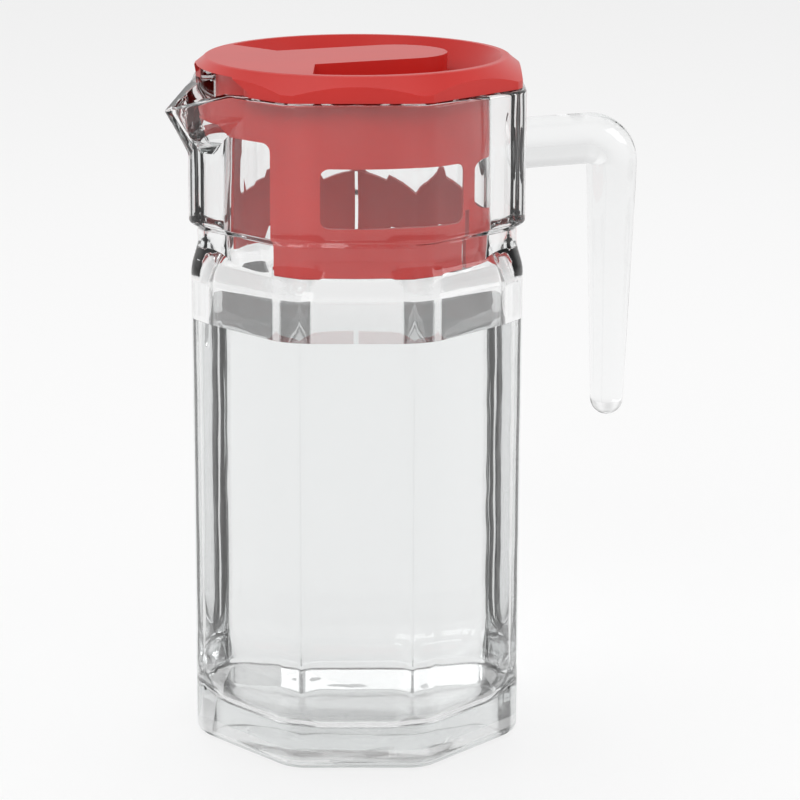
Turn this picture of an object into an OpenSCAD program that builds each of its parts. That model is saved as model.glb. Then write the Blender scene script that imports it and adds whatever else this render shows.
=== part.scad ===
// Octagonal glass pitcher with a hooked glass handle and a lift-off lid.
// Frame: +Z up, origin at the centre of the base, handle along +X and spout along -X.
// The corners of the octagon lie at 0, 45, 90 degrees and so on.

/* [Glass body] */
// Width of the body across its flats
body_across = 116; // [100:1:130]
// Height at which the straight body ends and the shoulder starts
body_height = 171; // [130:1:200]
// Thickness of the body wall at the flats
body_wall = 4.2; // [3:0.1:6]
// Thickness of the solid glass base
base_thickness = 12; // [6:0.5:18]
// Radius of the round between the wall and the floor inside
floor_round = 13; // [6:0.5:16]
// Radius of the round at the lower outer edge
foot_round = 3.5; // [1:0.5:6]
// Depth that rounding takes off each upright glass corner
corner_round_depth = 0.9; // [0.5:0.1:2]
// Depth that rounding takes off each upright corner inside
inner_corner_depth = 1.6; // [0.8:0.1:3]

/* [Shoulder, neck and collar] */
// Height of the shoulder between the body and the neck groove
shoulder_height = 12; // [8:0.5:16]
// Depth of the neck groove under the collar
neck_depth = 2.4; // [1:0.1:3]
// Height of the neck groove
neck_height = 3.5; // [2:0.5:6]
// Height of the round that leads from the neck into the collar
collar_round = 3; // [2:0.5:4]
// Width of the collar across its flats
collar_across = 117; // [110:0.5:125]
// Height of the collar from its lower round to the rim
collar_height = 46; // [35:0.5:60]
// Radius of the round along the rim
rim_round = 1.2; // [0.5:0.1:2]
// Running clearance between the collar's bore and the lid sleeve
sleeve_clearance = 0.9; // [0.6:0.1:1.5]

/* [Spout] */
// Distance that the spout tip reaches past the flats of the collar
spout_reach = 13.3; // [8:0.1:18]
// Drop of the spout tip below the rim
spout_drop = 7.3; // [4:0.1:12]
// Length of the spout's keel down the collar corner
spout_length = 27; // [20:0.5:34]
// Width of the spout where it leaves the collar at the rim
spout_width = 52; // [40:1:60]
// Thickness of the spout's glass
spout_wall = 2.6; // [2:0.1:4]
// Radius of the tip of the spout
spout_tip_radius = 1.6; // [1:0.1:3]

/* [Handle] */
// Distance from the jug's axis to the centre line of the handle's leg
handle_reach = 101.5; // [95:0.5:115]
// Radius of the handle's arm and of the top of its leg
handle_radius = 9.3; // [7:0.1:11]
// Radius of the handle at its lower tip
handle_tip_radius = 6.2; // [4:0.1:8]
// Distance from the rim down to the centre line of the handle's arm
handle_arm_drop = 26.8; // [20:0.2:34]
// Height of the handle from the centre line of its arm to its tip
handle_height = 105.6; // [80:0.2:120]
// Slack between the inside of the bend and the bar's own radius
handle_bend_slack = 0.4; // [0.2:0.1:2]

/* [Lid cap] */
// Height of the cap above the glass rim
cap_height = 9.1; // [7:0.1:14]
// Width of the cap across its flats
cap_across = 114; // [108:0.5:117]
// Radius of the cap's round top edge
cap_top_radius = 53.5; // [50:0.5:56]
// Height of the straight octagonal band at the foot of the cap's skirt
cap_band_height = 2.6; // [1:0.1:4]
// Gap between the glass rim and the cap's skirt
cap_gap = 0.4; // [0.3:0.1:1]
// Height of the arch in the skirt above the spout
arch_height = 6; // [2:0.1:6.5]
// Width of the arch at the skirt's lower edge
arch_width = 64; // [40:1:70]
// Wall thickness of the cap
cap_wall = 2; // [1.5:0.1:3]
// Depth of the two finger pockets below the top of the cap
pocket_depth = 12; // [8:0.5:16]
// Width of the round lip left around the pockets
lip_width = 2; // [1.5:0.1:4]
// Radius of the pocket floor around the jug's axis
pocket_floor_radius = 45; // [42:0.5:46]
// Width of the grip tongue between the pockets
tongue_width = 36; // [24:1:44]
// Distance from the jug's axis to the tip of the grip tongue
tongue_reach = 33; // [26:1:40]

/* [Lid sleeve] */
// Outer radius of the sleeve that fills the collar
sleeve_radius = 49.5; // [46:0.1:51]
// Wall thickness of the sleeve
sleeve_wall = 1.9; // [1.5:0.1:3]
// Depth of the sleeve below the glass rim
sleeve_depth = 61; // [50:1:66]
// Height of the ring that closes the sleeve at its foot
ring_height = 18; // [10:0.5:24]
// Height of the side windows above the ring
window_height = 20.5; // [14:0.5:24]
// Height of the pouring opening above the foot of the sleeve
pour_height = 46; // [30:0.5:48]
// Half angle of the pouring opening, measured from the spout
pour_half_angle = 36; // [20:0.5:40]
// Angle from the spout to the near edge of a side window
window_start_angle = 52.8; // [45:0.1:60]
// Angle from the spout to the far edge of a side window
window_end_angle = 109.7; // [95:0.1:110]
// Angle from the spout to the near edge of the window behind the handle
rear_window_angle = 116.5; // [115:0.5:125]
// Angle from the spout to each of the two slots that let the ring flex
slot_angle = 112.1; // [111.5:0.1:113]
// Width of the flex slots
slot_width = 2.1; // [1:0.1:3]
// Height that the ring rises beside the flex slots, apart from the near window
slot_rise = 4; // [0:0.5:6]
// Radius of the corners of the side windows
window_corner = 3; // [1:0.5:5]
// Distance that the window behind the handle dips below the side windows
rear_window_dip = 5; // [0:0.5:8]

/* [Colours] */
// Colour of the glass
glass_colour = "#DDE5E6"; // [#DDE5E6, #CFE0E0, #E8ECEC]
// Colour of the lid
lid_colour = "#C8342F"; // [#C8342F, #2F62C8, #3A8A4A]

/* [Hidden] */

sides = 8;
facet = 360 / sides;
half_facet = facet / 2;
round_steps = 96;
arc_steps = 6;
cut = 1;

body_half = body_across / 2;
collar_half = collar_across / 2;
cap_half = cap_across / 2;
neck_half = body_half - neck_depth;
neck_z = body_height + shoulder_height;
collar_z = neck_z + neck_height;
rim_z = collar_z + collar_round + collar_height;

bore_radius = sleeve_radius + sleeve_clearance;
inner_half = body_half - body_wall;
inner_shoulder_z = body_height - body_wall;
inner_end_half = bore_radius * cos(half_facet) - cut;
// Rise of the shoulder inside for each unit that it draws in
inner_shoulder_slope = 1.6;

corner_share = 1 / cos(half_facet);
collar_corner = collar_half * corner_share;
tip_top_z = rim_z - spout_drop;
keel_z = rim_z - spout_length;
// Share of the way out to the facet at which the rim ends of the spout lie
root_share = 0.86;

arm_z = rim_z - handle_arm_drop;
bend_radius = handle_radius + handle_bend_slack;
tip_z = arm_z - handle_height;

cap_z = rim_z + cap_gap;
top_z = rim_z + cap_height;
pocket_z = top_z - pocket_depth;
sleeve_z = rim_z - sleeve_depth;
ring_top_z = sleeve_z + ring_height;
seat_z = pocket_z - cap_wall;
tongue_half = tongue_width / 2;
// Share of the arch's width that its flat crown takes
arch_share = 0.58;
pocket_mouth_radius = cap_top_radius - lip_width;
// Start of the land towards the spout, as a share of the tongue's half width
land_share = 1.28;
// Place of the outer end of the land's flanks, as shares of the cap's top radius
flank_x_share = 0.62;
flank_y_share = 0.78;

// Points of an arc in the r-z plane, from one angle to another
function arc(centre_r, centre_z, radius, from, to) =
    [for (i = [0:arc_steps])
        let (angle = from + (to - from) * i / arc_steps)
        [centre_r + radius * cos(angle), centre_z + radius * sin(angle)]];

// Points of a smooth step between two half widths, flat at both ends
function ease(from_r, from_z, to_r, to_z) =
    [for (i = [1:arc_steps - 1])
        let (share = i / arc_steps)
        [from_r + (to_r - from_r) * (1 - cos(180 * share)) / 2,
         from_z + (to_z - from_z) * share]];

// Outline of the glass from the foot to the rim, as half widths across the flats
outside_outline = concat(
    arc(body_half - foot_round, foot_round, foot_round, -90, 0),
    [[body_half, body_height]],
    ease(body_half, body_height, neck_half, neck_z),
    [[neck_half, neck_z], [neck_half, collar_z]],
    ease(neck_half, collar_z, collar_half, collar_z + collar_round),
    [[collar_half, collar_z + collar_round]],
    arc(collar_half - rim_round, rim_z - rim_round, rim_round, 0, 90));

// Outline of the room for the drink, up to the bore of the collar
inside_outline = concat(
    arc(inner_half - floor_round, base_thickness + floor_round, floor_round, -90, 0),
    [[inner_half, inner_shoulder_z],
     [inner_end_half, inner_shoulder_z + (inner_half - inner_end_half) * inner_shoulder_slope]]);

// Octagonal solid that follows an outline, with a narrow flat along each upright corner
module octagon_solid(outline, corner_depth) {
    count = 2 * sides;
    last = len(outline) - 1;
    half_flat = corner_depth / tan(half_facet);
    polyhedron(
        points = [for (p = outline, k = [0:sides - 1], side = [-1, 1])
                      let (reach = p[0] * corner_share - corner_depth, angle = facet * k)
                      [reach * cos(angle) - side * half_flat * sin(angle),
                       reach * sin(angle) + side * half_flat * cos(angle), p[1]]],
        faces = concat(
            [[for (i = [0:count - 1]) i]],
            [[for (i = [count - 1:-1:0]) last * count + i]],
            [for (j = [0:last - 1], i = [0:count - 1])
                 [j * count + i, (j + 1) * count + i,
                  (j + 1) * count + (i + 1) % count, j * count + (i + 1) % count]]));
}

// Glass body, shoulder, neck and collar as one full block
module glass_block() {
    octagon_solid(outside_outline, corner_round_depth);
}

// Room inside the glass: octagonal below, round in the collar
module glass_room() {
    octagon_solid(inside_outline, inner_corner_depth);
    translate([0, 0, inner_shoulder_z])
        cylinder(h = rim_z - inner_shoulder_z + cut, r = bore_radius, $fn = round_steps);
}

// Outside of the spout: a pyramid on the collar's corner, from its keel up to the tip
module spout_outside() {
    root = sqrt(collar_corner * collar_corner - spout_width * spout_width / 4) * root_share;
    hull() {
        translate([-collar_half - spout_reach + spout_tip_radius, 0, tip_top_z - 2 * spout_tip_radius])
            cylinder(h = spout_drop - rim_round + 2 * spout_tip_radius, r = spout_tip_radius, $fn = 24);
        for (side = [-1, 1]) {
            translate([-root, side * spout_width / 2, tip_top_z])
                cylinder(h = spout_drop - rim_round, r = spout_tip_radius, $fn = 24);
        }
        translate([-collar_corner + 2 * spout_tip_radius, 0, keel_z])
            sphere(r = spout_tip_radius, $fn = 24);
    }
}

// Channel of the spout, one wall inside its outside, open to the bore and to the top
module spout_channel() {
    half_width = spout_width / 2 - 1.5 * spout_wall;
    root = sqrt(bore_radius * bore_radius - half_width * half_width) - cut;
    hull() {
        translate([-collar_half - spout_reach + spout_tip_radius + spout_wall, 0, tip_top_z - spout_wall / 2])
            cylinder(h = spout_drop + spout_wall, r = spout_tip_radius / 2, $fn = 24);
        for (side = [-1, 1]) {
            translate([-root, side * half_width, rim_z - spout_wall])
                cylinder(h = 2 * spout_wall, r = spout_tip_radius / 2, $fn = 24);
        }
        for (x = [bore_radius - cut, collar_corner - 2 * spout_wall]) {
            translate([-x, 0, keel_z + 3 * spout_wall]) sphere(r = spout_tip_radius / 2, $fn = 24);
        }
    }
}

// Wedge that lets the rim fall from the collar to the spout's tip
module spout_dip() {
    start = root_share * collar_corner;
    reach = collar_half + spout_reach;
    end = reach + cut;
    end_drop = spout_drop * (end - start) / (reach - start);
    rotate([90, 0, 0])
        translate([0, 0, -spout_width])
            linear_extrude(height = 2 * spout_width)
                polygon([[-start, rim_z], [-end, rim_z - end_drop],
                         [-end, rim_z + cut], [-start, rim_z + cut]]);
}

module glass_jug() {
    color(glass_colour, 0.5)
        difference() {
            union() {
                glass_block();
                spout_outside();
            }
            glass_room();
            spout_channel();
            spout_dip();
        }
}

// Hooked bar of the handle, from inside the collar's corner to the tip of its leg
module handle_bar() {
    root_x = collar_half - sleeve_clearance;
    bend_x = handle_reach - bend_radius;
    bend_z = arm_z - bend_radius;
    leg_z = tip_z + handle_tip_radius;
    translate([root_x, 0, arm_z])
        rotate([0, 90, 0])
            cylinder(h = bend_x - root_x, r = handle_radius, $fn = round_steps / 2);
    translate([bend_x, 0, bend_z])
        rotate([90, 0, 0])
            rotate_extrude(angle = 90, $fn = round_steps)
                translate([bend_radius, 0]) circle(r = handle_radius, $fn = round_steps / 2);
    translate([handle_reach, 0, leg_z])
        cylinder(h = bend_z - leg_z, r1 = handle_tip_radius, r2 = handle_radius, $fn = round_steps / 2);
    translate([handle_reach, 0, leg_z]) sphere(r = handle_tip_radius, $fn = round_steps / 2);
}

module glass_handle() {
    color(glass_colour, 0.5)
        difference() {
            handle_bar();
            glass_block();
        }
}

// Plan of the land on top of the cap: the grip tongue and the part towards the spout
module top_land(inset) {
    land_near = tongue_half * land_share;
    tongue_centre = tongue_reach - tongue_half;
    translate([tongue_centre, 0]) circle(r = tongue_half - inset, $fn = round_steps);
    translate([-land_near - inset, -tongue_half + inset])
        square([land_near + inset + tongue_centre, tongue_width - 2 * inset]);
    polygon([[-cap_top_radius, -cap_top_radius], [-cap_top_radius, cap_top_radius],
             [-cap_top_radius * flank_x_share - inset, cap_top_radius * flank_y_share],
             [-land_near - inset, tongue_half - inset],
             [-land_near - inset, -tongue_half + inset],
             [-cap_top_radius * flank_x_share - inset, -cap_top_radius * flank_y_share]]);
}

// Finger pockets, grown outwards by a wall: upright below the rim, a cone above it
module pockets(wall) {
    intersection() {
        translate([0, 0, pocket_z - wall])
            linear_extrude(height = pocket_depth + wall + cut)
                difference() {
                    circle(r = cap_top_radius, $fn = round_steps);
                    top_land(wall);
                }
        union() {
            translate([0, 0, pocket_z - wall])
                cylinder(h = cap_z - pocket_z + wall, r = pocket_floor_radius + wall,
                         $fn = round_steps);
            translate([0, 0, cap_z])
                cylinder(h = top_z - cap_z, r1 = pocket_floor_radius + wall,
                         r2 = pocket_mouth_radius + wall, $fn = round_steps);
        }
    }
}

// Full block of the cap: an octagon with a cone that rounds it off to the top
module cap_block(inset) {
    foot_radius = cap_half * corner_share - corner_round_depth - inset;
    intersection() {
        translate([0, 0, cap_z - (inset > 0 ? cut : 0)])
            cylinder(h = top_z - cap_z - inset + (inset > 0 ? cut : 0),
                     r = (cap_half - inset) * corner_share, $fn = sides);
        union() {
            translate([0, 0, cap_z - cut])
                cylinder(h = cap_band_height + cut, r = foot_radius, $fn = round_steps);
            translate([0, 0, cap_z + cap_band_height])
                cylinder(h = top_z - cap_z - cap_band_height, r1 = foot_radius,
                         r2 = cap_top_radius - inset, $fn = round_steps);
        }
    }
}

// Arch through the skirt above the spout, with sloping flanks and a flat crown
module spout_arch() {
    half = arch_width / 2;
    rotate([90, 0, -90])
        translate([0, cap_z, bore_radius])
            linear_extrude(height = collar_corner - bore_radius + cut)
                polygon([[-half - cut, -cut], [-half, 0], [-half * arch_share, arch_height],
                         [half * arch_share, arch_height], [half, 0], [half + cut, -cut]]);
}

module lid_cap() {
    color(lid_colour)
        difference() {
            union() {
                difference() {
                    cap_block(0);
                    cap_block(cap_wall);
                }
                // Seat ring that the sleeve is fixed to
                translate([0, 0, seat_z])
                    difference() {
                        cylinder(h = top_z - seat_z - cap_wall / 2, r = sleeve_radius,
                                 $fn = round_steps);
                        translate([0, 0, -cut])
                            cylinder(h = top_z - seat_z + cut,
                                     r = sleeve_radius - sleeve_wall - cap_wall / 2, $fn = round_steps);
                    }
                pockets(cap_wall);
            }
            pockets(0);
            spout_arch();
        }
}

// Wedge for the pouring opening, open at the foot of the sleeve
module pour_opening() {
    reach = sleeve_radius / cos(pour_half_angle) + cut;
    translate([0, 0, sleeve_z - cut])
        linear_extrude(height = pour_height + cut)
            polygon([[0, 0],
                     for (side = [1, -1])
                         [-reach * cos(pour_half_angle), side * reach * sin(pour_half_angle)]]);
}

// Window with round corners between two angles from the spout, under one level top edge
module window(from, to, low_from_z, low_to_z, high_z) {
    corner_angle = window_corner / sleeve_radius * 180 / PI;
    reach = sleeve_radius / cos((to - from) / 2) + window_corner;
    for_corners = [[from + corner_angle, low_from_z + window_corner],
                   [from + corner_angle, high_z - window_corner],
                   [to - corner_angle, low_to_z + window_corner],
                   [to - corner_angle, high_z - window_corner]];
    hull() {
        for (corner = for_corners) {
            rotate([0, 0, 180 - corner[0]])
                translate([0, 0, corner[1]])
                    rotate([0, 90, 0])
                        cylinder(h = reach, r = window_corner, $fn = 32);
        }
    }
}

module lid_sleeve() {
    window_top_z = ring_top_z + window_height;
    rear_overlap_angle = 6;
    color(lid_colour)
        difference() {
            translate([0, 0, sleeve_z])
                cylinder(h = seat_z - sleeve_z, r = sleeve_radius, $fn = round_steps);
            translate([0, 0, sleeve_z - cut])
                cylinder(h = seat_z - sleeve_z + 2 * cut, r = sleeve_radius - sleeve_wall,
                         $fn = round_steps);
            pour_opening();
            for (side = [0, 1]) {
                far_rise = side == 0 ? slot_rise : 0;
                mirror([0, side, 0]) {
                    window(window_start_angle, window_end_angle, ring_top_z,
                           ring_top_z + far_rise, window_top_z);
                    window(rear_window_angle, 180 + rear_overlap_angle, ring_top_z + slot_rise,
                           ring_top_z - rear_window_dip, window_top_z);
                    rotate([0, 0, 180 - slot_angle])
                        translate([0, -slot_width / 2, sleeve_z - cut])
                            cube([sleeve_radius + cut, slot_width, ring_height + slot_rise + cut]);
                }
            }
        }
}

glass_jug();
glass_handle();
lid_cap();
lid_sleeve();
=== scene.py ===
import math

import bpy
from mathutils import Matrix, Vector


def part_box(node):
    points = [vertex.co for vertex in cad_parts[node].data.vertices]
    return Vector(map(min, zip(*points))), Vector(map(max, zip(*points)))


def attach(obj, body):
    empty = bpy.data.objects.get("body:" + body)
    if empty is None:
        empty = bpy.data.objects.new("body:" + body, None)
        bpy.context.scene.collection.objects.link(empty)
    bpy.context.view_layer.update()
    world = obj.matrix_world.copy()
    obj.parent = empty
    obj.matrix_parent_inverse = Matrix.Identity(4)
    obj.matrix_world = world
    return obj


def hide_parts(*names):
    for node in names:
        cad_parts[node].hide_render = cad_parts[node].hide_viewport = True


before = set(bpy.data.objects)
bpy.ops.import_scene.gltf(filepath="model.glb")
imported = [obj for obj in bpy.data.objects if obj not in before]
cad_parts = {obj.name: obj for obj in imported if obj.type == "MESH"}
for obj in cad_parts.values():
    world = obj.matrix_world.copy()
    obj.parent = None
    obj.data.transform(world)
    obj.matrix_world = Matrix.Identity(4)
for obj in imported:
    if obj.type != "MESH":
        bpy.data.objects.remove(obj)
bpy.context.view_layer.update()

bl_info = {
    "name": "Octagonal glass pitcher with lid",
    "version": (1, 0, 0),
    "blender": (4, 5, 0),
    "location": "View3D > Sidebar > Pitcher",
    "description": "Builds a pressed-glass pitcher with a lift-off moulded lid",
    "category": "Object",
}

MM = 0.001
SIDES = 8
CORNER_SHARE = 1 / math.cos(math.pi / SIDES)
ROUND_STEPS = 128
TONGUE_STEPS = 96
HANDLE_STEPS = 48
BEND_STEPS = 20
EDGE_STEPS = 6
KEEL_STEPS = 5
SAME = 1e-7

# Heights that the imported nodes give
SLEEVE_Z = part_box("lid_sleeve")[0].z
SEAT_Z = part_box("lid_sleeve")[1].z
RIM_Z = SLEEVE_Z + 61 * MM
CAP_Z = RIM_Z + 0.4 * MM
TOP_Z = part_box("lid_cap")[1].z
HANDLE_TIP_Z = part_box("glass_handle")[0].z

# Glass jug: steps of its profile, rounds of its edges and the upright corners' widths
NECK_INSET = 2.4 * MM
SHOULDER_RISE = 12 * MM
NECK_RISE = 3.5 * MM
COLLAR_STEP = 3 * MM
FOOT_ROUND = 3.5 * MM
RIM_ROUND = 1.2 * MM
OUTER_CORNER = 4.5 * MM
INNER_CORNER = 8 * MM
FLOOR_ROUND = 13 * MM
ROOM_TOP_HALF = 45.5 * MM
ROOM_TOP_SLOPE = 2.3
BORE_OVERLAP = 1 * MM
# Insets and depths of the rounded edge between bore and rim
BORE_EDGE = ((0.16 * MM, 0.75 * MM), (0.6 * MM, 0.25 * MM), (1.2 * MM, -0.01 * MM))

# Spout: height, reach from the axis and half width of each ring
LIP_Z = 228.2 * MM
LIP_REACH = 71.8 * MM
LIP_START = 54.4 * MM
SPOUT_ROOT = 50 * MM
SPOUT_RINGS = ((207.5 * MM, 61.2 * MM, 6 * MM), (210.5 * MM, 63.3 * MM, 9 * MM),
               (214 * MM, 64.2 * MM, 13 * MM), (217.8 * MM, 66.0 * MM, 17 * MM),
               (223.4 * MM, 69.0 * MM, 22 * MM), (LIP_Z, LIP_REACH, 26 * MM),
               (RIM_Z - 0.2 * MM, LIP_REACH, 26.4 * MM))
SPOUT_KEEL_ROUND = 2.2 * MM
CHANNEL_ROOT = 44 * MM
CHANNEL_RINGS = ((213.5 * MM, 57.5 * MM, 5 * MM), (217.8 * MM, 62.5 * MM, 11 * MM),
                 (223.4 * MM, 66.0 * MM, 17 * MM), (LIP_Z, 69.0 * MM, 21.5 * MM),
                 (RIM_Z + 2 * MM, 70.2 * MM, 23.5 * MM))
CHANNEL_KEEL_ROUND = 3 * MM
DIP_REACH, DIP_HALF, DIP_HEIGHT = 90 * MM, 60 * MM, 20 * MM

# Handle: where its arm starts, its arm's height above its tip, its tip's radius and the bend's extra radius
HANDLE_ROOT = 57.4 * MM
ARM_RISE = 105.6 * MM
TIP_RADIUS = 6.2 * MM
TIP_FLAT = 0.4 * MM
BEND_EXTRA = 0.4 * MM

# Lid cap: cone, octagon and top edge
CAP_FOOT = 60.8 * MM
CAP_TOP = 53.5 * MM
CAP_HALF = 57 * MM
CAP_BAND = 2.6 * MM
CAP_CORNER = 3 * MM
CAP_WALL = 2 * MM
# Radius beyond the cap's top and depth below it, along its rounded top edge
CAP_EDGE = ((0.75 * MM, 1.0 * MM), (0.25 * MM, 0.45 * MM), (-0.3 * MM, 0.12 * MM), (-0.9 * MM, 0))
SEAT_WALL = 1 * MM
ARCH_REACH, ARCH_HALF, ARCH_HEIGHT, ARCH_TAPER = 66 * MM, 32 * MM, 6 * MM, 0.58

# Finger pockets and the tongue between them
POCKET_RADIUS = 45 * MM
POCKET_MOUTH = 51.5 * MM
POCKET_DEPTH = 12 * MM
TONGUE_HALF = 18 * MM
TONGUE_REACH = 33 * MM
LAND_X = 23.04 * MM
FLANK_X = 33.2 * MM
FLANK_Y = 41.7 * MM

# Sleeve: heights above its foot, angles from the spout in degrees
RING_HEIGHT = 18 * MM
WINDOW_HEIGHT = 20.5 * MM
WINDOW_ROUND = 3 * MM
POUR_HEIGHT = 46 * MM
POUR_ANGLE = 36
REAR_ANGLE = 63.5
WINDOW_START, WINDOW_END = 52.8, 109.7
SLOT_ANGLE = 112.1
SLOT_HALF = 1.05 * MM
SLOT_EXTRA = 4 * MM
REAR_RISES = (4 * MM, -5 * MM, 4 * MM)
FAR_RISES = (4 * MM, 2 * MM, 0)
NEAR_RISES = (0, 0, 0)

# Studio: lamps as name, place, width and power; the camera as the photograph has it
LAMPS = (("key_softbox", (-1.3, -1.0, 1.3), 1.0, 9),
         ("fill_softbox", (1.5, -0.8, 0.9), 0.9, 6),
         ("top_softbox", (0.1, 0.5, 1.6), 1.2, 5))
LAMP_TARGET = Vector((0, 0, 0.12))
FLOOR_WIDTH = 12
CAMERA_AZIMUTH = -22.5
CAMERA_ELEVATION = 13.5
CAMERA_DISTANCE = 964 * MM
CAMERA_TARGET = Vector((0, 0, 151 * MM))
CAMERA_LENS = 121.0
FRAME_PIXELS = 800
SHIFT_PIXELS = (43, -86.5)


class PitcherSizes(bpy.types.PropertyGroup):
    """Sizes of the glass and of the lid."""
    body_across: bpy.props.FloatProperty(
        name="Body across flats", description="Width of the octagonal body",
        default=116 * MM, unit="LENGTH")
    body_height: bpy.props.FloatProperty(
        name="Body height", description="Height at which the shoulder starts",
        default=171 * MM, unit="LENGTH")
    base_thickness: bpy.props.FloatProperty(
        name="Base thickness", description="Thickness of the solid glass base",
        default=12 * MM, unit="LENGTH")
    wall: bpy.props.FloatProperty(
        name="Glass wall", description="Thickness of the body wall at its flats",
        default=4.2 * MM, unit="LENGTH")
    collar_across: bpy.props.FloatProperty(
        name="Collar across flats", description="Width of the collar",
        default=117 * MM, unit="LENGTH")
    bore_radius: bpy.props.FloatProperty(
        name="Bore radius", description="Radius of the round bore in the collar",
        default=50.4 * MM, unit="LENGTH")
    handle_reach: bpy.props.FloatProperty(
        name="Handle reach", description="Distance from the axis to the handle's leg",
        default=101.5 * MM, unit="LENGTH")
    handle_radius: bpy.props.FloatProperty(
        name="Handle radius", description="Radius of the handle's arm",
        default=9.3 * MM, unit="LENGTH")
    water_level: bpy.props.FloatProperty(
        name="Water level", description="Height of the water that stands in the glass",
        default=153.7 * MM, unit="LENGTH")
    sleeve_radius: bpy.props.FloatProperty(
        name="Sleeve radius", description="Outer radius of the lid's sleeve",
        default=49.5 * MM, unit="LENGTH")
    sleeve_wall: bpy.props.FloatProperty(
        name="Sleeve wall", description="Wall thickness of the lid's sleeve",
        default=1.9 * MM, unit="LENGTH")


class PitcherColours(bpy.types.PropertyGroup):
    """Colours of the finishes, as sRGB hex values."""
    lid: bpy.props.StringProperty(
        name="Lid colour", description="Colour of the moulded lid", default="#C92A24")
    glass: bpy.props.StringProperty(
        name="Glass tint", description="Tint that thick glass gives to light", default="#D4D8D8")
    water: bpy.props.StringProperty(
        name="Water tint", description="Tint that deep water gives to light", default="#D8DCDC")
    floor: bpy.props.StringProperty(
        name="Floor colour", description="Colour of the plain floor", default="#F2F2F2")


def sizes():
    return bpy.context.scene.pitcher_sizes


def colours():
    return bpy.context.scene.pitcher_colours


def linear(hex_value):
    """sRGB hex to linear RGBA."""
    parts = [int(hex_value[i:i + 2], 16) / 255 for i in (1, 3, 5)]
    return tuple(c / 12.92 if c <= 0.04045 else ((c + 0.055) / 1.055) ** 2.4 for c in parts) + (1,)


def node_in(tree, kind, settings=None, links=None, **values):
    """Adds a node with its attributes, its input values and its links."""
    node = tree.nodes.new(kind)
    for key, value in values.items():
        setattr(node, key, value)
    for key, value in (settings or {}).items():
        node.inputs[key].default_value = value
    for key, socket in (links or {}).items():
        tree.links.new(socket, node.inputs[key])
    return node


def new_material(name):
    """An empty material and its node tree, or a material made before and None."""
    material = bpy.data.materials.get(name)
    if material:
        return material, None
    material = bpy.data.materials.new(name)
    material.use_nodes = True
    material.node_tree.nodes.clear()
    return material, material.node_tree


def pressed_glass():
    """Clear soda-lime glass, pressed in a mould and fire polished.
    Its walls wander by a few hundredths of a millimetre over centimetres,
    so lines seen through it waver, and its thick edges look slightly grey."""
    material, tree = new_material("pressed_soda_lime_glass")
    if tree:
        place = node_in(tree, "ShaderNodeTexCoord")
        # Waviness of a pressed wall: one swell about every 22 mm
        swell = node_in(tree, "ShaderNodeTexNoise",
                        {"Scale": 1 / (22 * MM), "Detail": 1.0, "Roughness": 0.4},
                        {"Vector": place.outputs["Object"]})
        bump = node_in(tree, "ShaderNodeBump", {"Strength": 0.35, "Distance": 0.6 * MM},
                       {"Height": swell.outputs["Fac"]})
        surface = node_in(tree, "ShaderNodeBsdfPrincipled",
                          {"Base Color": (1, 1, 1, 1), "Roughness": 0.0, "IOR": 1.52,
                           "Transmission Weight": 1.0}, {"Normal": bump.outputs["Normal"]})
        body = node_in(tree, "ShaderNodeVolumeAbsorption",
                       {"Color": linear(colours().glass), "Density": 9.0})
        node_in(tree, "ShaderNodeOutputMaterial", {}, {"Surface": surface.outputs["BSDF"],
                                                       "Volume": body.outputs["Volume"]})
    return material


def moulded_plastic():
    """Polypropylene, injection moulded against a finely blasted tool.
    That leaves a satin gloss with a faint grain and slight flow variation in the red."""
    material, tree = new_material("moulded_polypropylene")
    if tree:
        place = node_in(tree, "ShaderNodeTexCoord")
        # Flow variation: cloudy patches about 30 mm wide
        flow = node_in(tree, "ShaderNodeTexNoise", {"Scale": 1 / (30 * MM), "Detail": 2.0},
                       {"Vector": place.outputs["Object"]})
        colour = linear(colours().lid)
        darker = tuple(c * 0.86 for c in colour[:3]) + (1,)
        # Inputs 6 and 7 and output 2 are the node's colours
        blend = node_in(tree, "ShaderNodeMix", {6: darker, 7: colour},
                        {"Factor": flow.outputs["Fac"]}, data_type="RGBA")
        # Tool grain of about 0.4 mm, drawn coarser than the real 0.05 mm so that it shows
        grain = node_in(tree, "ShaderNodeTexNoise", {"Scale": 1 / (0.4 * MM), "Detail": 2.0},
                        {"Vector": place.outputs["Object"]})
        bump = node_in(tree, "ShaderNodeBump", {"Strength": 0.12, "Distance": 0.05 * MM},
                       {"Height": grain.outputs["Fac"]})
        surface = node_in(tree, "ShaderNodeBsdfPrincipled",
                          {"Roughness": 0.34, "IOR": 1.49, "Specular IOR Level": 0.38,
                           "Subsurface Weight": 0.06, "Subsurface Scale": 1.0,
                           "Subsurface Radius": (1.2 * MM, 0.3 * MM, 0.2 * MM)},
                          {"Base Color": blend.outputs[2], "Normal": bump.outputs["Normal"]})
        node_in(tree, "ShaderNodeOutputMaterial", {}, {"Surface": surface.outputs["BSDF"]})
    return material


def still_water():
    """Plain drinking water, clear and level. A body of it this deep looks slightly grey."""
    material, tree = new_material("still_water")
    if tree:
        surface = node_in(tree, "ShaderNodeBsdfPrincipled",
                          {"Base Color": (1, 1, 1, 1), "Roughness": 0.0, "IOR": 1.333,
                           "Transmission Weight": 1.0})
        body = node_in(tree, "ShaderNodeVolumeAbsorption",
                       {"Color": linear(colours().water), "Density": 4.0})
        node_in(tree, "ShaderNodeOutputMaterial", {}, {"Surface": surface.outputs["BSDF"],
                                                       "Volume": body.outputs["Volume"]})
    return material


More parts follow.
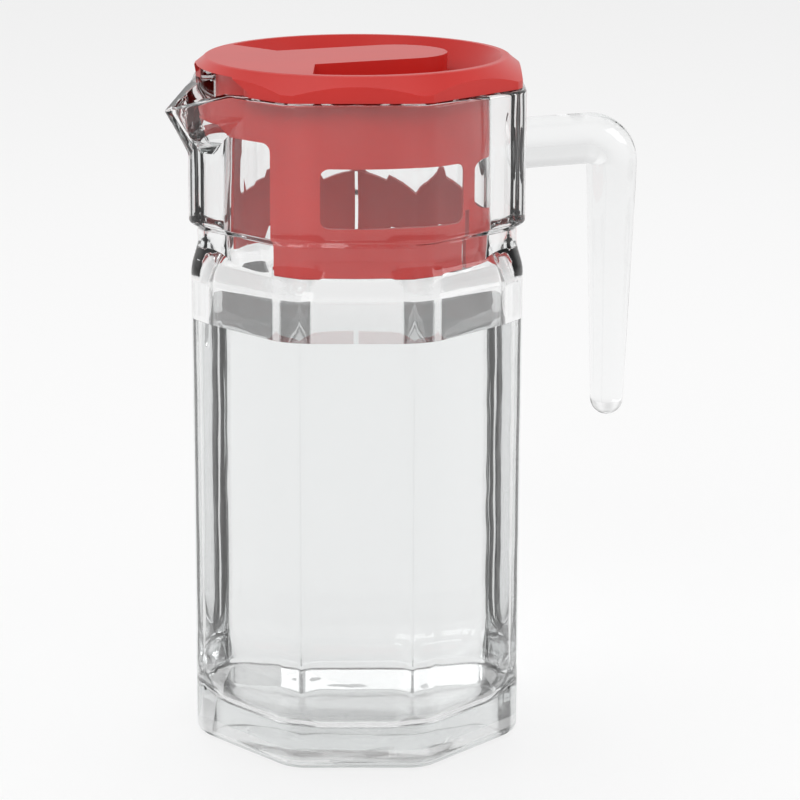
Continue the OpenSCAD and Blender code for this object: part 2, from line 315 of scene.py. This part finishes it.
def painted_floor():
    """A matt painted board that glows a little where it is seen, so that it fades into the white."""
    material, tree = new_material("matt_painted_board")
    if tree:
        place = node_in(tree, "ShaderNodeTexCoord")
        # Board fibre of about 2 mm
        fibre = node_in(tree, "ShaderNodeTexNoise", {"Scale": 1 / (2 * MM), "Detail": 3.0},
                        {"Vector": place.outputs["Object"]})
        bump = node_in(tree, "ShaderNodeBump", {"Strength": 0.05, "Distance": 0.1 * MM},
                       {"Height": fibre.outputs["Fac"]})
        board = node_in(tree, "ShaderNodeBsdfPrincipled",
                        {"Base Color": linear(colours().floor), "Roughness": 0.6},
                        {"Normal": bump.outputs["Normal"]})
        white = node_in(tree, "ShaderNodeEmission", {"Color": (1, 1, 1, 1), "Strength": 1.0})
        path = node_in(tree, "ShaderNodeLightPath")
        seen = node_in(tree, "ShaderNodeMath", {},
                       {0: path.outputs["Is Camera Ray"], 1: path.outputs["Is Transmission Ray"]},
                       operation="MAXIMUM")
        share = node_in(tree, "ShaderNodeMath", {1: 0.55}, {0: seen.outputs[0]}, operation="MULTIPLY")
        both = node_in(tree, "ShaderNodeMixShader", {},
                       {0: share.outputs[0], 1: board.outputs["BSDF"], 2: white.outputs["Emission"]})
        node_in(tree, "ShaderNodeOutputMaterial", {}, {"Surface": both.outputs["Shader"]})
    return material


def deselect():
    if bpy.context.mode != "OBJECT":
        bpy.ops.object.mode_set(mode="OBJECT")
    bpy.ops.object.select_all(action="DESELECT")


def pick(piece):
    deselect()
    piece.select_set(True)
    bpy.context.view_layer.objects.active = piece


def edit_all(piece):
    """Opens a piece in edit mode with all of it selected."""
    pick(piece)
    bpy.ops.object.mode_set(mode="EDIT")
    bpy.ops.mesh.select_all(action="SELECT")


def set_in_place(piece):
    """Moves the object's place into its mesh."""
    pick(piece)
    bpy.ops.object.transform_apply(location=True, rotation=True, scale=True)


def apply_modifier(piece, kind, **settings):
    pick(piece)
    modifier = piece.modifiers.new(kind.title(), kind)
    for key, value in settings.items():
        setattr(modifier, key, value)
    bpy.ops.object.modifier_apply(modifier=modifier.name)


def combine(piece, tools, operation):
    """Joins, cuts or intersects a piece with tools, which are used up."""
    for tool in tools:
        apply_modifier(piece, "BOOLEAN", object=tool, operation=operation, solver="EXACT")
        bpy.data.objects.remove(tool)


def outward(piece):
    """Turns all faces outwards."""
    edit_all(piece)
    bpy.ops.mesh.normals_make_consistent(inside=False)
    bpy.ops.object.mode_set(mode="OBJECT")


def bevel_edges(piece, chosen, width, segments):
    """Bevels the edges whose two ends pass a test."""
    pick(piece)
    mesh = piece.data
    for element in (*mesh.vertices, *mesh.edges, *mesh.polygons):
        element.select = False
    for edge in mesh.edges:
        first, second = (mesh.vertices[index] for index in edge.vertices)
        if chosen(first.co, second.co):
            edge.select = first.select = second.select = True
    bpy.context.tool_settings.mesh_select_mode = (False, True, False)
    bpy.ops.object.mode_set(mode="EDIT")
    bpy.ops.mesh.bevel(offset=width, segments=segments, profile=0.5, affect="EDGES")
    bpy.ops.object.mode_set(mode="OBJECT")


def extrude_rings(outline, centre):
    """Extrudes the selected ring upwards after an outline of radius and height."""
    for before, after in zip(outline, outline[1:]):
        bpy.ops.mesh.extrude_region_move(TRANSFORM_OT_translate={"value": (0, 0, after[1] - before[1])})
        scale = after[0] / before[0]
        bpy.ops.transform.resize(value=(scale, scale, 1), center_override=(*centre, after[1]))


def turned(name, outline, steps, centre=(0, 0)):
    """A solid extruded ring by ring from a circle, after an outline of radius and height."""
    deselect()
    radius, height = outline[0]
    bpy.ops.mesh.primitive_circle_add(vertices=steps, radius=radius, fill_type="NGON",
                                      location=(*centre, height), rotation=(0, 0, math.pi / 2))
    piece = bpy.context.object
    piece.name = name
    set_in_place(piece)
    edit_all(piece)
    extrude_rings(outline, centre)
    bpy.ops.object.mode_set(mode="OBJECT")
    outward(piece)
    return piece


def arc(centre_r, centre_z, radius, start, end, steps=5):
    """Points of an arc in the plane of radius and height, angles in degrees."""
    points = []
    for i in range(steps + 1):
        angle = math.radians(start + (end - start) * i / steps)
        points.append((centre_r + radius * math.cos(angle), centre_z + radius * math.sin(angle)))
    return points


def ease(start, end, steps=8):
    """Points between two points, along a smooth step that is upright at both ends."""
    points = []
    for i in range(1, steps):
        share = i / steps
        smooth = (1 - math.cos(math.pi * share)) / 2
        points.append((start[0] + (end[0] - start[0]) * smooth, start[1] + (end[1] - start[1]) * share))
    return points


def octagonal(name, outline, corner_width):
    """An octagonal solid after an outline of half widths, with rounded upright corners."""
    piece = turned(name, [(r * CORNER_SHARE, z) for r, z in outline], SIDES)

    def upright(a, b):
        apart = abs(math.atan2(a.y, a.x) - math.atan2(b.y, b.x))
        return (abs(a.z - b.z) > 1e-6 and a.xy.length > 1 * MM
                and (apart < 1e-3 or abs(apart - 2 * math.pi) < 1e-3))
    bevel_edges(piece, upright, corner_width, EDGE_STEPS)
    return piece


def block(name, low, high, turn=0.0, round_width=0.0, along=None):
    """A box between two corners, turned about the upright axis, with its edges along one axis rounded."""
    deselect()
    centre = (Vector(low) + Vector(high)) / 2
    size = Vector(high) - Vector(low)
    bpy.ops.mesh.primitive_cube_add(size=1, location=centre, scale=size)
    piece = bpy.context.object
    piece.name = name
    set_in_place(piece)
    if round_width:
        def same_way(a, b):
            difference = b - a
            return abs(abs(difference["xyz".index(along)]) - difference.length) < SAME
        bevel_edges(piece, same_way, round_width, EDGE_STEPS)
    piece.data.transform(Matrix.Rotation(turn, 4, "Z"))
    return piece


def window_form(name, half, rises, near_x, low, high):
    """A cutter for a window with round corners. Its lower edge rises at its two ends and its middle."""
    form = block(name, (near_x, -half, low), (60 * MM, half, high))
    edit_all(form)
    bpy.ops.mesh.bisect(plane_co=(0, 0, 0), plane_no=(0, 1, 0))
    bpy.ops.object.mode_set(mode="OBJECT")
    for vertex in form.data.vertices:
        if vertex.co.z < low + 1 * MM:
            end = 1 if abs(vertex.co.y) < 1e-6 else (0 if vertex.co.y < 0 else 2)
            vertex.co.z += rises[end]

    def through(a, b):
        return abs(a.x - b.x) > 1 * MM and abs(a.y) > 1 * MM
    bevel_edges(form, through, WINDOW_ROUND, EDGE_STEPS)
    return form


def finish_piece(piece, node, body, material, smooth_angle=35, soften=0.0):
    """Merges doubles, softens sharp edges, smooths the shading and hands the piece to the frame."""
    edit_all(piece)
    bpy.ops.mesh.remove_doubles(threshold=0.01 * MM)
    bpy.ops.mesh.dissolve_limited(angle_limit=math.radians(0.5))
    bpy.ops.object.mode_set(mode="OBJECT")
    if soften:
        apply_modifier(piece, "BEVEL", width=soften, segments=3, limit_method="ANGLE",
                       angle_limit=math.radians(38), use_clamp_overlap=True)
    outward(piece)
    pick(piece)
    bpy.ops.object.shade_smooth_by_angle(angle=math.radians(smooth_angle))
    apply_modifier(piece, "WEIGHTED_NORMAL", keep_sharp=True)
    # Clear pieces let the lamps through, as real glass does
    piece.visible_shadow = material.name.startswith("moulded")
    piece.data.materials.clear()
    piece.data.materials.append(material)
    if node:
        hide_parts(node)
        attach(piece, body)


def keel(a, b):
    """Is this the edge along a spout form's tip?"""
    return abs(a.z - b.z) > 1e-6 and abs(a.y) < SAME and abs(b.y) < SAME


def spout_solid(name, rings, root_x, keel_round):
    """A triangular solid that opens upwards from the collar's corner: rings of height, reach and half width."""
    deselect()
    height, reach, half_width = rings[0]
    bpy.ops.mesh.primitive_circle_add(vertices=3, radius=1, fill_type="NGON", location=(0, 0, 0),
                                      rotation=(0, 0, math.pi / 2))
    piece = bpy.context.object
    piece.name = name
    set_in_place(piece)
    for vertex in piece.data.vertices:
        at_tip = vertex.co.x < -0.9
        vertex.co = (-reach, 0, height) if at_tip else (
            -root_x, math.copysign(half_width, vertex.co.y), height)
    edit_all(piece)
    for before, after in zip(rings, rings[1:]):
        bpy.ops.mesh.extrude_region_move(TRANSFORM_OT_translate={"value": (0, 0, after[0] - before[0])})
        bpy.ops.transform.resize(
            value=((after[1] - root_x) / (before[1] - root_x), after[2] / before[2], 1),
            center_override=(-root_x, 0, after[0]))
    bpy.ops.object.mode_set(mode="OBJECT")
    outward(piece)
    bevel_edges(piece, keel, keel_round, KEEL_STEPS)
    return piece


def jug_outside(size):
    """The octagonal outside from foot to rim."""
    body, collar = size.body_across / 2, size.collar_across / 2
    neck = body - NECK_INSET
    shoulder_z, neck_z = size.body_height, size.body_height + SHOULDER_RISE
    collar_z = neck_z + NECK_RISE
    lower = collar_z + COLLAR_STEP
    outline = (arc(body - FOOT_ROUND, FOOT_ROUND, FOOT_ROUND, -90, 0)
               + [(body, shoulder_z)] + ease((body, shoulder_z), (neck, neck_z))
               + [(neck, neck_z), (neck, collar_z)]
               + ease((neck, collar_z), (collar, lower)) + [(collar, lower)]
               + arc(collar - RIM_ROUND, RIM_Z - RIM_ROUND, RIM_ROUND, 0, 90))
    return octagonal("glass_jug_pressed", outline, OUTER_CORNER)


def jug_room(size):
    """The octagonal room with its rounded floor, which narrows towards the bore."""
    inner = size.body_across / 2 - size.wall
    start_z = size.body_height - size.wall
    end = ROOM_TOP_HALF
    end_z = start_z + (inner - end) * ROOM_TOP_SLOPE
    outline = (arc(inner - FLOOR_ROUND, size.base_thickness + FLOOR_ROUND, FLOOR_ROUND, -90, 0, 8)
               + [(inner, start_z)] + ease((inner, start_z), (end, end_z)) + [(end, end_z)])
    return octagonal("room_form", outline, INNER_CORNER)


def jug_bore(size):
    """The round bore in the collar, with a rounded edge at the rim."""
    radius = size.bore_radius
    outline = ([(radius, size.body_height - BORE_OVERLAP), (radius, RIM_Z - RIM_ROUND)]
               + [(radius + out, RIM_Z - down) for out, down in BORE_EDGE]
               + [(radius + 2 * RIM_ROUND, RIM_Z + BORE_OVERLAP)])
    return turned("bore_form", outline, ROUND_STEPS)


def lip_dip():
    """A wedge that lets the rim fall towards the spout's tip."""
    dip = block("dip_form", (-DIP_REACH, -DIP_HALF, RIM_Z), (-LIP_START, DIP_HALF, RIM_Z + DIP_HEIGHT))
    slope = (RIM_Z - LIP_Z) / (LIP_REACH - LIP_START)
    for vertex in dip.data.vertices:
        if vertex.co.x < -80 * MM and vertex.co.z < RIM_Z + 1 * MM:
            vertex.co.z = RIM_Z - slope * (DIP_REACH - LIP_START)
    return dip


class PITCHER_OT_glass_jug(bpy.types.Operator):
    """Builds the pressed-glass jug with its spout"""
    bl_idname = "pitcher.glass_jug"
    bl_label = "Glass jug"

    def execute(self, context):
        size = sizes()
        jug = jug_outside(size)
        combine(jug, [spout_solid("spout_form", SPOUT_RINGS, SPOUT_ROOT, SPOUT_KEEL_ROUND)], "UNION")
        channel = spout_solid("channel_form", CHANNEL_RINGS, CHANNEL_ROOT, CHANNEL_KEEL_ROUND)
        combine(jug, [jug_room(size), jug_bore(size), channel, lip_dip()], "DIFFERENCE")
        finish_piece(jug, "glass_jug", "jug", pressed_glass(), 35, 0.5 * MM)
        return {"FINISHED"}


class PITCHER_OT_glass_handle(bpy.types.Operator):
    """Builds the hooked glass handle"""
    bl_idname = "pitcher.glass_handle"
    bl_label = "Glass handle"

    def execute(self, context):
        size = sizes()
        radius = size.handle_radius
        arm_z = HANDLE_TIP_Z + ARM_RISE
        bend = radius + BEND_EXTRA
        bend_x, bend_z = size.handle_reach - bend, arm_z - bend
        deselect()
        bpy.ops.mesh.primitive_circle_add(vertices=HANDLE_STEPS, radius=radius, fill_type="NGON",
                                          location=(HANDLE_ROOT, 0, arm_z), rotation=(0, math.pi / 2, 0))
        handle = bpy.context.object
        handle.name = "glass_handle_hook"
        set_in_place(handle)
        edit_all(handle)
        bpy.ops.mesh.extrude_region_move(TRANSFORM_OT_translate={"value": (bend_x - HANDLE_ROOT, 0, 0)})
        turn = (Matrix.Translation((bend_x, 0, bend_z)) @ Matrix.Rotation(math.pi / 2 / BEND_STEPS, 4, "Y")
                @ Matrix.Translation((-bend_x, 0, -bend_z)))
        for _ in range(BEND_STEPS):
            bpy.ops.mesh.extrude_region_move(TRANSFORM_OT_translate={"value": (0, 0, 0)})
            bpy.ops.object.mode_set(mode="OBJECT")
            for vertex in handle.data.vertices:
                if vertex.select:
                    vertex.co = turn @ vertex.co
            bpy.ops.object.mode_set(mode="EDIT")
        leg_z = HANDLE_TIP_Z + TIP_RADIUS
        tip = [(max(TIP_RADIUS * math.cos(math.radians(a)), TIP_FLAT),
                leg_z - TIP_RADIUS * math.sin(math.radians(a))) for a in (15, 30, 45, 60, 72, 82, 90)]
        extrude_rings([(radius, bend_z), (TIP_RADIUS, leg_z)] + tip, (size.handle_reach, 0))
        bpy.ops.object.mode_set(mode="OBJECT")
        outward(handle)
        finish_piece(handle, "glass_handle", "jug", pressed_glass(), 50)
        return {"FINISHED"}


def cap_form(name, inset, low):
    """The cap's outer form: an octagon whose corners and top are chamfered by a cone."""
    foot, top, half = CAP_FOOT - inset, CAP_TOP - inset, CAP_HALF - inset
    high = TOP_Z - inset
    prism = octagonal(name, [(half, low), (half, high + 1 * MM)], CAP_CORNER)
    outline = [(foot, low - 1 * MM), (foot, CAP_Z + CAP_BAND)]
    outline += [(top + out, high - down) for out, down in CAP_EDGE]
    combine(prism, [turned("cone_form", outline, ROUND_STEPS)], "INTERSECT")
    return prism


def pocket_form(name, inset):
    """The two finger pockets at the sides of the tongue, grown outwards by a wall."""
    floor_z = TOP_Z - POCKET_DEPTH - inset
    top_z = TOP_Z + (1 * MM if inset == 0 else -0.5 * MM)
    radius = POCKET_RADIUS + inset
    bowl = turned(name, [(radius - 1.5 * MM, floor_z), (radius - 0.4 * MM, floor_z + 0.4 * MM),
                         (radius, floor_z + 1.5 * MM), (radius, CAP_Z), (POCKET_MOUTH + inset, top_z)],
                  ROUND_STEPS)
    half, reach = TONGUE_HALF - inset, TONGUE_REACH - inset
    low, high = floor_z - 2 * MM, TOP_Z + 5 * MM
    tongue = turned("tongue_form", [(half, low), (half, high)], TONGUE_STEPS, (reach - half, 0))
    bar = block("bar_form", (-LAND_X - inset, -half, low), (reach - half, half, high))
    land = block("land_form", (-60 * MM, -half, low), (-LAND_X - inset, half, high))
    for vertex in land.data.vertices:
        side = math.copysign(1, vertex.co.y)
        if vertex.co.x < -50 * MM:
            vertex.co.x, vertex.co.y = -FLANK_X - inset, side * FLANK_Y
    corner = block("corner_form", (-62 * MM, -FLANK_Y, low), (-FLANK_X - inset, FLANK_Y, high))
    combine(bowl, [tongue, bar, land, corner], "DIFFERENCE")
    return bowl


class PITCHER_OT_lid_cap(bpy.types.Operator):
    """Builds the lid's cap with its grip tongue and finger pockets"""
    bl_idname = "pitcher.lid_cap"
    bl_label = "Lid cap"

    def execute(self, context):
        size = sizes()
        cap = cap_form("lid_cap_moulded", 0, CAP_Z)
        combine(cap, [cap_form("hollow_form", CAP_WALL, CAP_Z - 1 * MM)], "DIFFERENCE")
        seat = turned("seat_form", [(size.sleeve_radius, SEAT_Z), (size.sleeve_radius, TOP_Z - 1 * MM)],
                      ROUND_STEPS)
        bore = size.sleeve_radius - size.sleeve_wall - SEAT_WALL
        seat_bore = turned("seat_bore_form", [(bore, SEAT_Z - 1 * MM), (bore, TOP_Z + 1 * MM)], ROUND_STEPS)
        combine(seat, [seat_bore], "DIFFERENCE")
        combine(cap, [seat, pocket_form("pocket_outside_form", CAP_WALL)], "UNION")
        combine(cap, [pocket_form("pocket_form", 0)], "DIFFERENCE")
        arch = block("arch_form", (-ARCH_REACH, -ARCH_HALF, CAP_Z - 1 * MM),
                     (-size.bore_radius, ARCH_HALF, CAP_Z + ARCH_HEIGHT))
        for vertex in arch.data.vertices:
            if vertex.co.z > CAP_Z:
                vertex.co.y *= ARCH_TAPER
        combine(cap, [arch], "DIFFERENCE")
        finish_piece(cap, "lid_cap", "lid", moulded_plastic(), 35, 0.45 * MM)
        return {"FINISHED"}


class PITCHER_OT_lid_sleeve(bpy.types.Operator):
    """Builds the windowed sleeve that stands in the collar"""
    bl_idname = "pitcher.lid_sleeve"
    bl_label = "Lid sleeve"

    def execute(self, context):
        size = sizes()
        radius, wall = size.sleeve_radius, size.sleeve_wall
        ring_z = SLEEVE_Z + RING_HEIGHT
        window_z = ring_z + WINDOW_HEIGHT
        sleeve = turned("lid_sleeve_moulded",
                        [(radius - 0.5 * MM, SLEEVE_Z), (radius - 0.15 * MM, SLEEVE_Z + 0.15 * MM),
                         (radius, SLEEVE_Z + 0.5 * MM), (radius, SEAT_Z)], ROUND_STEPS)
        inside = turned("inside_form", [(radius - wall, SLEEVE_Z - 1 * MM), (radius - wall, SEAT_Z + 1 * MM)],
                        ROUND_STEPS)
        half = radius * math.sin(math.radians(POUR_ANGLE))
        pour = block("pour_form", (-60 * MM, -half, SLEEVE_Z - 5 * MM),
                     (-20 * MM, half, SLEEVE_Z + POUR_HEIGHT), 0, WINDOW_ROUND, "x")
        rear_half = radius * math.sin(math.radians(REAR_ANGLE))
        cutters = [inside, pour, window_form("rear_form", rear_half, REAR_RISES, 10 * MM, ring_z, window_z)]
        half = radius * math.sin(math.radians((WINDOW_END - WINDOW_START) / 2))
        middle = (WINDOW_START + WINDOW_END) / 2
        for side, rises in ((1, FAR_RISES), (-1, NEAR_RISES)):
            window = window_form("window_form", half, rises, 20 * MM, ring_z, window_z)
            window.data.transform(Matrix.Rotation(math.radians(180 - side * middle), 4, "Z"))
            slot = block("slot_form", (20 * MM, -SLOT_HALF, SLEEVE_Z - 1 * MM),
                         (60 * MM, SLOT_HALF, ring_z + SLOT_EXTRA), math.radians(180 - side * SLOT_ANGLE))
            cutters += [window, slot]
        combine(sleeve, cutters, "DIFFERENCE")
        finish_piece(sleeve, "lid_sleeve", "lid", moulded_plastic(), 35, 0.3 * MM)
        return {"FINISHED"}


class PITCHER_OT_water(bpy.types.Operator):
    """Fills the jug with water, which is what it holds and no part of it"""
    bl_idname = "pitcher.water"
    bl_label = "Water"

    def execute(self, context):
        size = sizes()
        # The water reaches a little into the glass, so that no air shows between the two
        overlap = 0.15 * MM
        inner = size.body_across / 2 - size.wall + overlap
        floor_z = size.base_thickness - overlap
        water = octagonal("water_fill",
                          arc(inner - FLOOR_ROUND, floor_z + FLOOR_ROUND, FLOOR_ROUND, -90, 0, 8)
                          + [(inner, size.water_level)], INNER_CORNER)
        finish_piece(water, None, None, still_water(), 35)
        return {"FINISHED"}


def studio_world():
    """White surroundings. The glass shows them as white panels with grey gaps between them, one for
    each flat of the octagon, under a grey ceiling, with one dark flag at the right."""
    world = bpy.data.worlds.new("studio_white")
    world.use_nodes = True
    tree = world.node_tree
    tree.nodes.clear()
    path = node_in(tree, "ShaderNodeLightPath")
    seen = node_in(tree, "ShaderNodeMath", {},
                   {0: path.outputs["Is Camera Ray"], 1: path.outputs["Is Glossy Ray"]},
                   operation="MAXIMUM")
    seen = node_in(tree, "ShaderNodeMath", {}, {0: seen.outputs[0], 1: path.outputs["Is Transmission Ray"]},
                   operation="MAXIMUM")
    place = node_in(tree, "ShaderNodeTexCoord")
    parts = node_in(tree, "ShaderNodeSeparateXYZ", {}, {0: place.outputs["Generated"]})
    angle = node_in(tree, "ShaderNodeMath", {}, {0: parts.outputs["Y"], 1: parts.outputs["X"]},
                    operation="ARCTAN2")
    turns = node_in(tree, "ShaderNodeMath", {1: float(SIDES)}, {0: angle.outputs[0]}, operation="MULTIPLY")
    wave = node_in(tree, "ShaderNodeMath", {}, {0: turns.outputs[0]}, operation="COSINE")
    panels = node_in(tree, "ShaderNodeMapRange",
                     {"From Min": -1.0, "From Max": 1.0, "To Min": 0.8, "To Max": 1.0},
                     {"Value": wave.outputs[0]})
    ceiling = node_in(tree, "ShaderNodeMapRange",
                      {"From Min": 0.35, "From Max": 0.75, "To Min": 1.0, "To Max": 0.7},
                      {"Value": parts.outputs["Z"]})
    # The flag draws a line along the handle and the glass edges
    turned_to = node_in(tree, "ShaderNodeMath", {1: math.radians(8)}, {0: angle.outputs[0]}, operation="ADD")
    near_flag = node_in(tree, "ShaderNodeMath", {}, {0: turned_to.outputs[0]}, operation="COSINE")
    flag = node_in(tree, "ShaderNodeMapRange",
                   {"From Min": 0.93, "From Max": 0.985, "To Min": 1.0, "To Max": 0.4},
                   {"Value": near_flag.outputs[0]})
    shade = node_in(tree, "ShaderNodeMath", {}, {0: panels.outputs[0], 1: ceiling.outputs[0]},
                    operation="MULTIPLY")
    shade = node_in(tree, "ShaderNodeMath", {}, {0: shade.outputs[0], 1: flag.outputs[0]},
                    operation="MULTIPLY")
    light = node_in(tree, "ShaderNodeBackground", {"Color": (1, 1, 1, 1), "Strength": 0.75})
    white = node_in(tree, "ShaderNodeBackground", {"Color": (1, 1, 1, 1), "Strength": 1.0})
    glassy = node_in(tree, "ShaderNodeBackground", {"Color": (1, 1, 1, 1)}, {"Strength": shade.outputs[0]})
    soft = node_in(tree, "ShaderNodeMixShader", {},
                   {0: seen.outputs[0], 1: light.outputs["Background"], 2: glassy.outputs["Background"]})
    both = node_in(tree, "ShaderNodeMixShader", {},
                   {0: path.outputs["Is Camera Ray"], 1: soft.outputs["Shader"],
                    2: white.outputs["Background"]})
    node_in(tree, "ShaderNodeOutputWorld", {}, {"Surface": both.outputs["Shader"]})
    return world


def photograph_camera():
    """The camera looks a little down at the pitcher, turned towards the spout's side."""
    azimuth, elevation = math.radians(CAMERA_AZIMUTH), math.radians(CAMERA_ELEVATION)
    back = Vector((math.sin(azimuth) * math.cos(elevation), -math.cos(azimuth) * math.cos(elevation),
                   math.sin(elevation)))
    camera = bpy.data.cameras.new("camera")
    camera.sensor_width = 36
    camera.lens = CAMERA_LENS
    camera.shift_x, camera.shift_y = (pixels / FRAME_PIXELS for pixels in SHIFT_PIXELS)
    camera.clip_start = 0.05
    stand = bpy.data.objects.new("camera", camera)
    stand.location = CAMERA_TARGET + back * CAMERA_DISTANCE
    stand.rotation_euler = (-back).to_track_quat("-Z", "Y").to_euler()
    return stand


class PITCHER_OT_stage(bpy.types.Operator):
    """Sets up the floor, the soft lights and the camera"""
    bl_idname = "pitcher.stage"
    bl_label = "Floor, lights and camera"

    def execute(self, context):
        scene = context.scene
        deselect()
        bpy.ops.mesh.primitive_plane_add(size=FLOOR_WIDTH, location=(0, 0, 0))
        floor = context.object
        floor.name = "floor"
        floor.data.materials.append(painted_floor())
        for name, place, width, power in LAMPS:
            light = bpy.data.lights.new(name, "AREA")
            light.size = width
            light.energy = power
            lamp = bpy.data.objects.new(name, light)
            lamp.location = place
            lamp.rotation_euler = (LAMP_TARGET - Vector(place)).to_track_quat("-Z", "Y").to_euler()
            scene.collection.objects.link(lamp)
        scene.world = studio_world()
        scene.camera = photograph_camera()
        scene.collection.objects.link(scene.camera)
        scene.view_settings.view_transform = "Standard"
        return {"FINISHED"}


class PITCHER_PT_panel(bpy.types.Panel):
    """Lists the pieces and the values of the pitcher"""
    bl_label = "Pitcher"
    bl_idname = "PITCHER_PT_panel"
    bl_space_type = "VIEW_3D"
    bl_region_type = "UI"
    bl_category = "Pitcher"

    def draw(self, context):
        for group in (context.scene.pitcher_sizes, context.scene.pitcher_colours):
            box = self.layout.box()
            for key in group.__annotations__:
                box.prop(group, key)
        for operator in STEPS:
            self.layout.operator(operator.bl_idname)


STEPS = (PITCHER_OT_glass_jug, PITCHER_OT_glass_handle, PITCHER_OT_lid_cap, PITCHER_OT_lid_sleeve,
         PITCHER_OT_water, PITCHER_OT_stage)
CLASSES = (PitcherSizes, PitcherColours, *STEPS, PITCHER_PT_panel)


def register():
    for item in CLASSES:
        bpy.utils.register_class(item)
    bpy.types.Scene.pitcher_sizes = bpy.props.PointerProperty(type=PitcherSizes)
    bpy.types.Scene.pitcher_colours = bpy.props.PointerProperty(type=PitcherColours)


def unregister():
    del bpy.types.Scene.pitcher_sizes
    del bpy.types.Scene.pitcher_colours
    for item in reversed(CLASSES):
        bpy.utils.unregister_class(item)


def main():
    register()
    bpy.ops.pitcher.glass_jug()
    bpy.ops.pitcher.glass_handle()
    bpy.ops.pitcher.lid_cap()
    bpy.ops.pitcher.lid_sleeve()
    bpy.ops.pitcher.water()
    bpy.ops.pitcher.stage()


if __name__ == "__main__":
    main()
